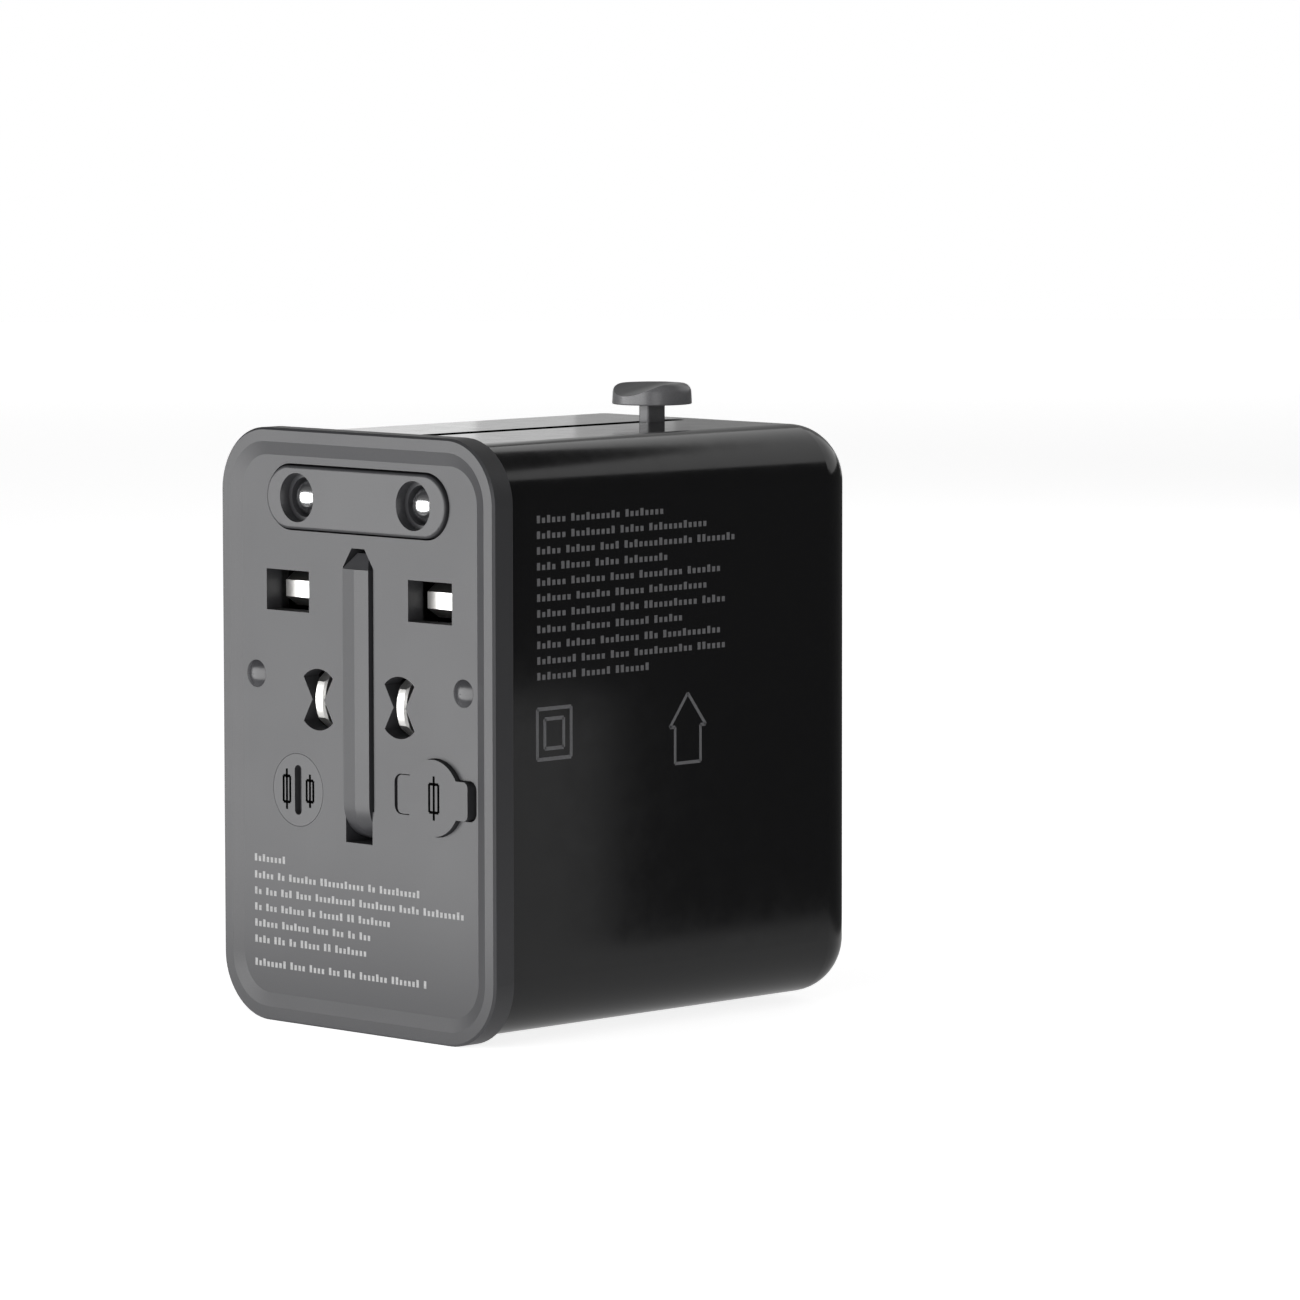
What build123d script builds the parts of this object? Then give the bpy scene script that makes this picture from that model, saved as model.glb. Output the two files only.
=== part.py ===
from build123d import *
import os
from math import asin, cos, radians, sin

# Universal travel adapter. Millimetres, +Z up. The plug face looks towards -Y and the socket
# face towards +Y. The origin is the centre of the shell's flat underside.

os.makedirs("parts", exist_ok=True)

# ---------------------------------------------------------------- overall sizes
shell_w = 41.0
shell_h = 62.9
overall_d = 57.3            # rim of the plug face to the socket face
shell_wall = 1.8
socket_wall = 2.2
shell_corner_r = 6.25
shell_rear_r = 5.5
bore_rear_r = 3.0
collar_over = 0.75          # the front cover's collar stands proud of the shell all round
collar_d = 3.4
collar_edge = 0.25          # bevel of the collar's front edge
collar_back_edge = 0.6      # bevel of the collar's rear edge

# ---------------------------------------------------------------- fits
press_gap = 0.02            # parts fixed in each other
running_gap = 0.06          # journals and hinge pins
slide_gap = 0.2             # a sliding part and its window
fit_gap = 0.15              # cover in shell
cap_gap = 0.1               # fuse door in its seat
turn_gap = 0.05             # spare fuse cap in its seat

# ---------------------------------------------------------------- plug face
rim_w = 1.5
bevel_w = 1.45
rim_step = 0.45
plate_t = 2.2
spigot_len = 3.0
spigot_wall = 1.1
uk_top_drop = 16.75         # UK line and neutral pins below the shell's top
eu_rise = 10.14             # European pins above them
us_drop = 11.49             # American and Australian blades below them
earth_drop = 22.2           # UK earth pin below them

# ---------------------------------------------------------------- European plug
eu_spacing = 18.16
eu_pin_d = 4.0
eu_pin_reach = 19.0         # pins beyond the sleeve's face, out
eu_tip_inset = 0.2          # tips behind the recessed face, in
eu_bare = 10.0              # metal end of each pin, beyond its plastic sheath
eu_core_d = 3.0
eu_sleeve_w = 27.9
eu_sleeve_h = 6.8
eu_sleeve_proud = 0.5       # sleeve's face in front of the recessed face, in
eu_sleeve_len = 22.2
eu_sleeve_travel = 17.5
eu_flange_over = 0.7
eu_flange_t = 1.8
eu_bore_gap = 0.15
eu_mouth_d = 5.3
eu_mouth_depth = 1.3
sleeve_edge_r = 0.35

# ---------------------------------------------------------------- UK plug
uk_spacing = 22.2
uk_pin_w = 6.35
uk_pin_h = 4.0
uk_gap_w = 0.19
uk_gap_h = 0.22
uk_tip_inset = 2.3
uk_travel = 20.4
uk_bare = 8.5
uk_sheath_t = 0.6
uk_tip_h = 1.8
uk_tip_len = 2.0
uk_tip_side = 0.4

# ---------------------------------------------------------------- UK earth pin
earth_w = 4.0
earth_deep = 8.0
earth_reach = 22.7          # beyond the rim, unfolded
earth_proud = 0.4           # long edges in front of the recessed face, folded
earth_ridge = 0.2           # the pin's front is a shallow gable, carried round its hinged end
earth_side_gap = 0.35
earth_root_gap = 0.08
earth_tip_len = 1.65
earth_tip_w = 1.8
earth_tip_d = 5.6
channel_tip_half = 1.0
channel_taper_len = 2.04
channel_floor_gap = 0.1     # under the unfolded pin
channel_wall = 0.8
hinge_d = 1.6

# ---------------------------------------------------------------- American and Australian plug
us_spacing = 12.7
blade_h = 6.35
blade_t = 1.5
blade_tip_inset = 0.1
blade_flat = 3.9            # height of the bowed tip
blade_bow = 0.4
blade_slope = 1.6           # length of the slopes above and below the tip
blade_side = 0.24
blade_end_gap = 0.155
blade_side_gap = 0.05
us_travel = 18.0
us_swing = 30.0
boss_d = 7.4
boss_t = 2.2
boss_floor = 0.5
journal_d = 3.6
journal_len = 3.4

# ---------------------------------------------------------------- carriages
carriage_front_y = 1.2
carriage_d = 5.8
eu_carriage_gap = 0.3       # carriage to sleeve, both out
eu_carriage_d = 6.9
eu_carriage_w = 26.0
eu_carriage_h = 6.4
uk_carriage_w = 29.8
uk_carriage_h = 6.4
us_carriage_w = 21.0
us_carriage_h = 8.4
arm_end_x = 15.6
uk_arm_h = 4.6
us_arm_h = 3.8
eu_embed = 3.0
uk_embed = 1.4

# ---------------------------------------------------------------- knobs
eu_knob_y = 16.35
us_knob_drop = 3.46         # the lower side knob sits below its blades
knob_d = 8.86
knob_draft = 3.0            # slope of the cap's side
knob_lift = 1.95            # cap's underside above the shell
knob_crest = 2.28           # height of the cap
knob_rim = 0.95             # height of the cap at the low end of its scoop
knob_edge_r = 1.0           # round of the cap's crest
knob_foot_r = 0.12          # round of the cap's lower edge
scoop_r = 7.25              # thumb scoop, deepest towards the plug face
scoop_tilt = 9.3
stem_across = 1.55
stem_along = 2.75
stem_edge_r = 0.25
flange_across = 3.4
flange_along = 4.4
flange_t = 1.2
knob_press = 1.5
knob_slot_w = 2.6
slot_end_gap = 0.5
top_slot_extra = 2.6        # the top slot runs on behind the retracted knob
spring_r = 1.0
spring_wire_r = 0.16
spring_len = 4.4
side_spring_room = 1.6      # bore behind each side spring
spring_turns = 5
spring_bore_r = 1.3

# ---------------------------------------------------------------- fuses and screws
fuse_x = 12.0
fuse_drop = 20.65
door_r = 4.1
door_proud = 0.6            # disc and finger tab in front of the face
door_tab_half = 2.07
door_tab_r = 0.65
door_left = 6.0             # flush tab
door_right = 5.33           # raised finger tab
door_notch = 0.48           # nail gap beside the flush tab
door_pocket = 0.77          # gap beside the finger tab
door_pocket_r = 1.0
door_seat = 1.2
door_plug_r = 3.3
door_plug_len = 1.6
spare_x = -9.63
spare_drop = 21.49
spare_cap_r = 3.92
coin_slot_w = 1.07
coin_slot_len = 5.4
coin_slot_depth = 0.8
fuse_d = 6.3
fuse_len = 25.0
fuse_cap_len = 5.5
fuse_body_inset = 0.25
fuse_spring_r = 2.3
fuse_wire_r = 0.25
fuse_spring_turns = 2
tube_bore_r = 3.5
tube_wall = 0.8
tube_floor = 0.8
tube_floor_y = 1.4
web_t = 1.6
screw_x = 16.17
screw_drop = 9.3
cap_hole_d = 3.0
cap_t = 0.9
cap_dome = 0.5              # dome in front of the face
screw_head_d = 2.6
screw_head_t = 0.9
screw_d = 1.7
screw_len = 10.0
screw_cross_w = 0.4
post_r = 2.6
screw_boss_r = 2.4
boss_len = 2.0
skirt_cut_drop = 11.9       # below the shell's top

# ---------------------------------------------------------------- chassis and socket
chassis_y = 7.6
chassis_t = 1.2
chassis_low_z = 17.6
deck_drop = 13.0            # below the shell's top
deck_t = 1.1
deck_front_y = -18.9
socket_z = 24.0
socket_recess = 0.6
socket_face_w = 31.0
socket_face_h = 49.0
socket_face_r = 4.0
socket_slot_gap = 0.3
earth_way_gap = 0.6         # round an inserted earth pin, behind the socket face
eu_socket_spacing = 19.0
eu_socket_d = 5.0
au_socket_x = 6.9
frame_w = 32.0
frame_h = 12.4
frame_y = 9.9
frame_front_t = 1.4
contact_x = 9.9
contact_w = 9.2
pocket_w = 10.0
pocket_h = 8.8
leaf_gap = 4.7
leaf_t = 0.6
leaf_len = 12.0

# ---------------------------------------------------------------- power and USB boards
board_t = 1.2
power_w = 26.0
power_h = 17.0
power_z = 40.5
transformer_x = -7.9
transformer_w = 9.8
transformer_h = 10.0
transformer_d = 11.0
core_inset = 1.5
core_over = 1.4
capacitor_x = 7.5
capacitor_d = 7.0
capacitor_len = 12.0
capacitor_edge_r = 0.6
usb_board_w = 31.0
usb_board_h = 14.5
usb_board_z = 2.6
usb_board_y = 12.0
port_x = 7.6
port_wall = 0.3
usb_a_w = 13.1
usb_a_t = 5.8
usb_a_len = 12.6
usb_a_tongue_w = 11.1
usb_a_tongue_t = 1.9
usb_c_w = 8.94
usb_c_t = 3.2
usb_c_len = 7.3
usb_c_tongue_w = 6.7
usb_c_tongue_t = 0.7
tongue_inset = 1.2
tongue_base_t = 2.0

# ---------------------------------------------------------------- derived places
mid_z = shell_h / 2
front_y = -overall_d / 2
back_y = overall_d / 2
face_y = front_y + rim_step
seat_y = front_y + collar_d
plate_back_y = face_y + plate_t
spigot_end_y = seat_y + spigot_len
collar_w = shell_w + 2 * collar_over
collar_h = shell_h + 2 * collar_over
collar_r = shell_corner_r + collar_over
face_w = collar_w - 2 * rim_w - 2 * bevel_w
face_h = collar_h - 2 * rim_w - 2 * bevel_w
bore_w = shell_w - 2 * shell_wall
bore_h = shell_h - 2 * shell_wall
bore_r = shell_corner_r - shell_wall
bore_end_y = back_y - socket_wall
spigot_w = bore_w - 2 * fit_gap
spigot_h = bore_h - 2 * fit_gap
spigot_r = bore_r - fit_gap

uk_z = shell_h - uk_top_drop
eu_z = uk_z + eu_rise
us_z = uk_z - us_drop
hinge_z = uk_z - earth_drop
fuse_z = uk_z - fuse_drop
spare_z = uk_z - spare_drop
screw_z = uk_z - screw_drop
skirt_cut_z = shell_h - skirt_cut_drop
deck_z = shell_h - deck_drop

sleeve_y = face_y - eu_sleeve_proud
sleeve_end_y = sleeve_y + eu_sleeve_len
eu_tip_y = face_y + eu_tip_inset
eu_travel = eu_tip_y - (sleeve_y - eu_sleeve_travel - eu_pin_reach)
eu_carriage_y = sleeve_end_y - eu_sleeve_travel + eu_carriage_gap + eu_travel
uk_tip_y = face_y + uk_tip_inset
blade_tip_y = face_y + blade_tip_inset
side_knob_y = carriage_front_y + carriage_d / 2
us_knob_z = us_z - us_knob_drop

earth_y = face_y - earth_proud
hinge_y = earth_y + earth_deep / 2
earth_tip_z = hinge_z + earth_reach + hinge_y - front_y
channel_half = earth_w / 2 + earth_side_gap
channel_end_y = earth_y + earth_deep + earth_side_gap
channel_low_z = hinge_z - earth_deep / 2 - earth_ridge - channel_floor_gap
channel_wide_z = hinge_z - 0.75
channel_top_z = earth_tip_z + 0.55
channel_taper_z = channel_top_z - channel_taper_len

blade_sweep_r = blade_h / 2 + blade_end_gap
blade_waist = (blade_t / 2 + blade_side_gap) / cos(radians(us_swing))
blade_sweep = radians(us_swing) + asin((blade_t / 2 + blade_side_gap) / blade_sweep_r)

door_seat_y = face_y + door_seat
cap_floor_y = face_y + cap_t
head_seat_y = cap_floor_y + screw_head_t
post_front_y = plate_back_y + boss_len
frame_end_y = bore_end_y - cap_gap
board_y = chassis_y + chassis_t
earth_way_z = socket_z + earth_drop
earth_way_y = back_y - socket_recess - earth_reach - earth_way_gap
knob_flange_depth = shell_wall + slide_gap + flange_t
port_z = shell_wall + press_gap
usb_a_y = usb_board_y + board_t + press_gap + usb_a_t / 2
usb_c_y = usb_board_y - press_gap - usb_c_t / 2


def at_y(y):
    """A sketch plane across the adapter: X to the right, Z up, facing the plug side."""
    return Plane.XZ.offset(-y)


def save(part, name):
    """Name a finished piece and write it as one STEP file."""
    part.label = name
    export_step(part, f"parts/{name}.step")


def bow_tie(r, waist, sweep):
    """The window swept by a blade that swings both ways about its middle."""
    edge = Vector(r * sin(sweep) - waist, r * cos(sweep)) * 1.2
    with BuildSketch() as window:
        Circle(r)
        for side in (-1, 1):
            with BuildLine():
                Polyline(
                    (side * waist, 0),
                    (side * (waist + edge.X), edge.Y),
                    (side * 2 * r, edge.Y),
                    (side * 2 * r, -edge.Y),
                    (side * (waist + edge.X), -edge.Y),
                    close=True,
                )
            make_face(mode=Mode.SUBTRACT)
    return window.sketch


def coil(plane, radius, wire_r, length, turns):
    """A round-wire compression spring that stands on a plane and fills its length."""
    rise = length - 2 * wire_r
    with BuildPart() as spring:
        with BuildLine():
            path = Helix(pitch=rise / turns, height=rise, radius=radius, center=(0, 0, wire_r))
        with BuildSketch(Plane(origin=path @ 0, z_dir=path % 0)):
            Circle(wire_r)
        sweep(path=path, is_frenet=True)
    return plane.location * spring.part


# ================================================================ front cover
with BuildPart() as front_cover:
    # collar with two bevelled outer edges
    with BuildSketch(at_y(front_y)):
        with Locations((0, mid_z)):
            RectangleRounded(collar_w, collar_h, collar_r)
    extrude(amount=-collar_d)
    chamfer(front_cover.faces().sort_by(Axis.Y)[0].edges(), collar_edge)
    chamfer(front_cover.faces().sort_by(Axis.Y)[-1].edges(), collar_back_edge)
    # skirt that plugs into the shell
    with BuildSketch(at_y(seat_y)):
        with Locations((0, mid_z)):
            RectangleRounded(spigot_w, spigot_h, spigot_r)
    extrude(amount=-spigot_len)
    with BuildSketch(at_y(plate_back_y)):
        with Locations((0, mid_z)):
            RectangleRounded(
                spigot_w - 2 * spigot_wall, spigot_h - 2 * spigot_wall, spigot_r - spigot_wall
            )
    extrude(amount=plate_back_y - spigot_end_y, mode=Mode.SUBTRACT)
    # shallow recess inside the flat rim, with a wide bevel
    with BuildSketch(at_y(front_y)):
        with Locations((0, mid_z)):
            RectangleRounded(collar_w - 2 * rim_w, collar_h - 2 * rim_w, collar_r - rim_w)
    with BuildSketch(at_y(face_y)):
        with Locations((0, mid_z)):
            RectangleRounded(face_w, face_h, collar_r - rim_w - bevel_w)
    loft(mode=Mode.SUBTRACT)
    # the skirt is cut back for the sleeve's flange and for the shell's screw posts
    with BuildSketch(at_y(plate_back_y)):
        with Locations((0, skirt_cut_z + shell_h / 2)):
            Rectangle(eu_sleeve_w + 2 * eu_flange_over + 1.3, shell_h)
    extrude(amount=plate_back_y - spigot_end_y, mode=Mode.SUBTRACT)
    with BuildSketch(at_y(post_front_y)):
        with Locations((-screw_x, screw_z), (screw_x, screw_z)):
            Circle(post_r + fit_gap)
    extrude(amount=post_front_y - spigot_end_y, mode=Mode.SUBTRACT)
    # screw bosses and the walls round the earth pin's channel, behind the face
    with BuildSketch(at_y(face_y + plate_t / 2)):
        with Locations((-screw_x, screw_z), (screw_x, screw_z)):
            Circle(screw_boss_r)
    extrude(amount=face_y + plate_t / 2 - post_front_y)
    with BuildSketch(at_y(face_y + plate_t / 2)):
        with Locations((0, (channel_low_z + channel_top_z) / 2)):
            Rectangle(
                2 * (channel_half + channel_wall), channel_top_z - channel_low_z + 2 * channel_wall
            )
    extrude(amount=face_y + plate_t / 2 - channel_end_y - channel_wall)
    # channel: narrow at the pin's root, wide along the pin, tapered at its tip
    with BuildSketch(at_y(front_y)):
        with Locations((0, (channel_low_z + channel_wide_z) / 2)):
            Rectangle(earth_w + 2 * earth_root_gap, channel_wide_z - channel_low_z)
        with BuildLine():
            Polyline(
                (channel_half, channel_wide_z),
                (channel_half, channel_taper_z),
                (channel_tip_half, channel_top_z),
                (-channel_tip_half, channel_top_z),
                (-channel_half, channel_taper_z),
                (-channel_half, channel_wide_z),
                close=True,
            )
        make_face()
    extrude(amount=front_y - channel_end_y, mode=Mode.SUBTRACT)
    with BuildSketch(Plane.YZ.offset(-channel_half - channel_wall)):
        with Locations((hinge_y, hinge_z)):
            Circle(hinge_d / 2 + press_gap)
    extrude(amount=2 * (channel_half + channel_wall), mode=Mode.SUBTRACT)
    # windows for the European sleeve, the UK pins and the swinging blades
    with BuildSketch(at_y(front_y)):
        with Locations((0, eu_z)):
            SlotOverall(eu_sleeve_w + 2 * slide_gap, eu_sleeve_h + 2 * slide_gap)
        with Locations((-uk_spacing / 2, uk_z), (uk_spacing / 2, uk_z)):
            Rectangle(uk_pin_w + 2 * uk_gap_w, uk_pin_h + 2 * uk_gap_h)
        with Locations((-us_spacing / 2, us_z), (us_spacing / 2, us_z)):
            add(bow_tie(blade_sweep_r, blade_waist, blade_sweep))
    extrude(amount=front_y - plate_back_y, mode=Mode.SUBTRACT)
    # seats for the screw caps and heads, and clearance for the shanks
    with BuildSketch(at_y(front_y)):
        with Locations((-screw_x, screw_z), (screw_x, screw_z)):
            Circle(cap_hole_d / 2)
    extrude(amount=front_y - head_seat_y, mode=Mode.SUBTRACT)
    with BuildSketch(at_y(front_y)):
        with Locations((-screw_x, screw_z), (screw_x, screw_z)):
            Circle(screw_d / 2 + fit_gap)
    extrude(amount=front_y - post_front_y, mode=Mode.SUBTRACT)
    # spare fuse bore, and the fuse door's seat with its nail notch and finger pocket
    with BuildSketch(at_y(front_y)):
        with Locations((spare_x, spare_z)):
            Circle(spare_cap_r + turn_gap)
        with Locations((fuse_x, fuse_z)):
            Circle(tube_bore_r)
    extrude(amount=front_y - plate_back_y, mode=Mode.SUBTRACT)
    with BuildSketch(at_y(front_y)):
        with Locations((fuse_x, fuse_z)):
            Circle(door_r + cap_gap)
        with Locations((fuse_x + (door_right + door_pocket - door_left - door_notch) / 2, fuse_z)):
            RectangleRounded(
                door_left + door_notch + door_right + door_pocket,
                2 * (door_tab_half + cap_gap),
                door_pocket_r,
            )
    extrude(amount=front_y - door_seat_y, mode=Mode.SUBTRACT)
save(front_cover.part, "front_cover")

# ================================================================ shell
def slot_span(knob_y, travel, extra):
    """Middle and length of the slot that a knob's stem runs in."""
    low = knob_y - travel - stem_along / 2 - slot_end_gap
    high = knob_y + stem_along / 2 + slot_end_gap + extra
    return (low + high) / 2, high - low


def socket_holes():
    """One side of the socket: UK slot, European hole and two blade slots, run together."""
    with BuildSketch() as holes:
        with Locations((uk_spacing / 2, 0)):
            Rectangle(uk_pin_w + 2 * socket_slot_gap, uk_pin_h + 2 * socket_slot_gap)
        with Locations((eu_socket_spacing / 2, 0)):
            Circle(eu_socket_d / 2)
        with Locations((us_spacing / 2, 0)):
            Rectangle(blade_t + 2 * socket_slot_gap, blade_h + 2 * socket_slot_gap)
        with Locations(Location((au_socket_x, 0, 0), us_swing)):
            Rectangle(blade_t + 2 * socket_slot_gap, blade_h + 2 * socket_slot_gap)
    return holes.sketch


with BuildPart() as main_shell:
    # deep rounded cup
    with BuildSketch(at_y(seat_y)):
        with Locations((0, mid_z)):
            RectangleRounded(shell_w, shell_h, shell_corner_r)
    extrude(amount=seat_y - back_y)
    fillet(main_shell.faces().sort_by(Axis.Y)[-1].edges(), shell_rear_r)
    with BuildSketch(at_y(seat_y)):
        with Locations((0, mid_z)):
            RectangleRounded(bore_w, bore_h, bore_r)
    extrude(amount=seat_y - bore_end_y, mode=Mode.SUBTRACT)
    floor = main_shell.faces().filter_by_position(Axis.Y, bore_end_y - 0.01, bore_end_y + 0.01)
    fillet(floor.edges(), bore_rear_r)
    # screw posts
    with BuildSketch(at_y(bore_end_y + socket_wall / 4)):
        with Locations((-screw_x, screw_z), (screw_x, screw_z)):
            Circle(post_r)
    extrude(amount=bore_end_y + socket_wall / 4 - post_front_y)
    with BuildSketch(at_y(post_front_y)):
        with Locations((-screw_x, screw_z), (screw_x, screw_z)):
            Circle(screw_d / 2 + press_gap)
    extrude(amount=-screw_len, mode=Mode.SUBTRACT)
    # slots for the top knob and the two side knobs
    with BuildSketch(Plane.XY.offset(shell_h - 2 * shell_wall)):
        middle, length = slot_span(eu_knob_y, eu_travel, top_slot_extra)
        with Locations((0, middle)):
            SlotOverall(length, knob_slot_w, rotation=90)
    extrude(amount=2 * shell_wall, mode=Mode.SUBTRACT)
    with BuildSketch(Plane.YZ.offset(-shell_w / 2)):
        for knob_z, travel in ((uk_z, uk_travel), (us_knob_z, us_travel)):
            middle, length = slot_span(side_knob_y, travel, 0)
            with Locations((middle, knob_z)):
                SlotOverall(length, knob_slot_w)
    extrude(amount=2 * shell_wall, mode=Mode.SUBTRACT)
    # socket face: a shallow panel with the run-together holes and the earth hole
    with BuildSketch(at_y(back_y)):
        with Locations((0, mid_z)):
            RectangleRounded(socket_face_w, socket_face_h, socket_face_r)
    extrude(amount=socket_recess, mode=Mode.SUBTRACT)
    with BuildSketch(at_y(bore_end_y)):
        with Locations((0, socket_z)):
            add(socket_holes())
            add(mirror(socket_holes(), about=Plane.YZ, mode=Mode.PRIVATE))
        with Locations((0, earth_way_z)):
            Rectangle(earth_w + 2 * socket_slot_gap, earth_deep + 2 * socket_slot_gap)
    extrude(amount=-socket_wall, mode=Mode.SUBTRACT)
    # USB mouths in the underside
    with BuildSketch(Plane.XY):
        with Locations((-port_x, usb_a_y), (port_x, usb_a_y)):
            Rectangle(usb_a_w - 2 * port_wall, usb_a_t - 2 * port_wall)
        with Locations((-port_x, usb_c_y), (port_x, usb_c_y)):
            SlotOverall(usb_c_w - 2 * port_wall, usb_c_t - 2 * port_wall)
    extrude(amount=shell_wall, mode=Mode.SUBTRACT)
save(main_shell.part, "main_shell")

# ================================================================ screws and their caps
with BuildPart() as cover_screws:
    with BuildSketch(at_y(cap_floor_y + press_gap)):
        with Locations((-screw_x, screw_z), (screw_x, screw_z)):
            Circle(screw_head_d / 2)
    extrude(amount=press_gap - screw_head_t)
    with BuildSketch(at_y(head_seat_y)):
        with Locations((-screw_x, screw_z), (screw_x, screw_z)):
            Circle(screw_d / 2)
    extrude(amount=-screw_len)
    with BuildSketch(at_y(cap_floor_y)):
        with Locations((-screw_x, screw_z), (screw_x, screw_z)):
            Rectangle(screw_d, screw_cross_w)
            Rectangle(screw_cross_w, screw_d)
    extrude(amount=-screw_head_t / 2, mode=Mode.SUBTRACT)
save(cover_screws.part, "cover_screws")

cap_r = cap_hole_d / 2 - press_gap
dome_r = (cap_r ** 2 + cap_dome ** 2) / (2 * cap_dome)
dome_half = asin(cap_r / dome_r) / 2
with BuildPart() as screw_caps:
    for x in (-screw_x, screw_x):
        with BuildSketch(Plane.XY.offset(screw_z)):
            with BuildLine():
                Polyline(
                    (x, face_y - cap_dome),
                    (x, cap_floor_y - press_gap),
                    (x + cap_r, cap_floor_y - press_gap),
                    (x + cap_r, face_y),
                )
                ThreePointArc(
                    (x + cap_r, face_y),
                    (x + dome_r * sin(dome_half), face_y - cap_dome + dome_r * (1 - cos(dome_half))),
                    (x, face_y - cap_dome),
                )
            make_face()
        revolve(axis=Axis((x, 0, screw_z), (0, 1, 0)))
save(screw_caps.part, "screw_caps")

# ================================================================ UK earth pin
with BuildPart() as earth_pin:
    # square bar with a gabled front
    with BuildSketch(Plane.XY.offset(hinge_z)):
        with BuildLine():
            Polyline(
                (-earth_w / 2, earth_y),
                (0, earth_y - earth_ridge),
                (earth_w / 2, earth_y),
                (earth_w / 2, earth_y + earth_deep),
                (-earth_w / 2, earth_y + earth_deep),
                close=True,
            )
        make_face()
    extrude(amount=earth_tip_z - earth_tip_len - hinge_z)
    # the front carried round the hinge
    with BuildSketch(Plane.XY.offset(hinge_z)):
        with BuildLine():
            Polyline(
                (-earth_w / 2, earth_y),
                (0, earth_y - earth_ridge),
                (earth_w / 2, earth_y),
                (earth_w / 2, hinge_y),
                (-earth_w / 2, hinge_y),
                close=True,
            )
        make_face()
    revolve(axis=Axis((0, hinge_y, hinge_z), (1, 0, 0)), revolution_arc=180)
    # tapered tip
    with BuildSketch(Plane.XY.offset(earth_tip_z - earth_tip_len)):
        with Locations((0, hinge_y)):
            Rectangle(earth_w, earth_deep)
    with BuildSketch(Plane.XY.offset(earth_tip_z)):
        with Locations((0, hinge_y)):
            Rectangle(earth_tip_w, earth_tip_d)
    loft()
    with BuildSketch(Plane.YZ.offset(-earth_w)):
        with Locations((hinge_y, hinge_z)):
            Circle(hinge_d / 2 + running_gap)
    extrude(amount=2 * earth_w, mode=Mode.SUBTRACT)
save(earth_pin.part, "earth_pin")

with BuildPart() as earth_hinge_pin:
    with BuildSketch(Plane.YZ.offset(-channel_half - channel_wall)):
        with Locations((hinge_y, hinge_z)):
            Circle(hinge_d / 2)
    extrude(amount=2 * (channel_half + channel_wall))
save(earth_hinge_pin.part, "earth_hinge_pin")

# ================================================================ fuses
with BuildPart() as fuse_holder:
    # two tubes joined by a web behind the earth pin's channel
    with BuildSketch(at_y(plate_back_y)):
        with Locations((fuse_x, fuse_z), (spare_x, spare_z)):
            Circle(tube_bore_r + tube_wall)
    extrude(amount=plate_back_y - tube_floor_y - tube_floor)
    with BuildSketch(at_y(channel_end_y + channel_wall + slide_gap)):
        with Locations(((fuse_x + spare_x) / 2, (fuse_z + spare_z) / 2)):
            Rectangle(fuse_x - spare_x, web_t)
    extrude(amount=channel_end_y + channel_wall + slide_gap - tube_floor_y)
    with BuildSketch(at_y(plate_back_y)):
        with Locations((fuse_x, fuse_z), (spare_x, spare_z)):
            Circle(tube_bore_r)
    extrude(amount=plate_back_y - tube_floor_y, mode=Mode.SUBTRACT)
save(fuse_holder.part, "fuse_holder")


def fuse_pieces(name, x, z, start_y):
    """A cartridge fuse: a ceramic tube and two metal end caps."""
    with BuildPart() as body:
        with BuildSketch(at_y(start_y + fuse_body_inset)):
            with Locations((x, z)):
                Circle(fuse_d / 2 - fuse_body_inset)
        extrude(amount=2 * fuse_body_inset - fuse_len)
    with BuildPart() as caps:
        for end_y in (start_y, start_y + fuse_len - fuse_cap_len):
            with BuildSketch(at_y(end_y)):
                with Locations((x, z)):
                    Circle(fuse_d / 2)
            extrude(amount=-fuse_cap_len)
        with BuildSketch(at_y(start_y + fuse_body_inset)):
            with Locations((x, z)):
                Circle(fuse_d / 2 - fuse_body_inset)
        extrude(amount=2 * fuse_body_inset - fuse_len, mode=Mode.SUBTRACT)
    save(body.part, f"{name}_body")
    save(caps.part, f"{name}_caps")


live_fuse_y = door_seat_y + door_plug_len + cap_gap
spare_fuse_y = plate_back_y
fuse_pieces("live_fuse", fuse_x, fuse_z, live_fuse_y)
fuse_pieces("spare_fuse", spare_x, spare_z, spare_fuse_y)

with BuildPart() as fuse_springs:
    for x, z, start_y in ((fuse_x, fuse_z, live_fuse_y), (spare_x, spare_z, spare_fuse_y)):
        length = tube_floor_y - start_y - fuse_len - 2 * press_gap
        seat = Plane(origin=(x, tube_floor_y - press_gap, z), x_dir=(1, 0, 0), z_dir=(0, -1, 0))
        add(coil(seat, fuse_spring_r, fuse_wire_r, length, fuse_spring_turns))
save(fuse_springs.part, "fuse_springs")

with BuildPart() as fuse_door:
    # raised disc and finger tab, a flush tab, and a plug that holds the fuse in
    with BuildSketch(at_y(face_y - door_proud)):
        with Locations((fuse_x, fuse_z)):
            Circle(door_r)
        with Locations((fuse_x + door_right / 2, fuse_z)):
            RectangleRounded(door_right, 2 * door_tab_half, door_tab_r)
    extrude(amount=-door_proud - door_seat + press_gap)
    with BuildSketch(at_y(face_y)):
        with Locations((fuse_x - door_left / 2, fuse_z)):
            RectangleRounded(door_left, 2 * door_tab_half, door_tab_r)
    extrude(amount=press_gap - door_seat)
    with BuildSketch(at_y(door_seat_y - press_gap)):
        with Locations((fuse_x, fuse_z)):
            Circle(door_plug_r)
    extrude(amount=-door_plug_len)
save(fuse_door.part, "fuse_door")

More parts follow.
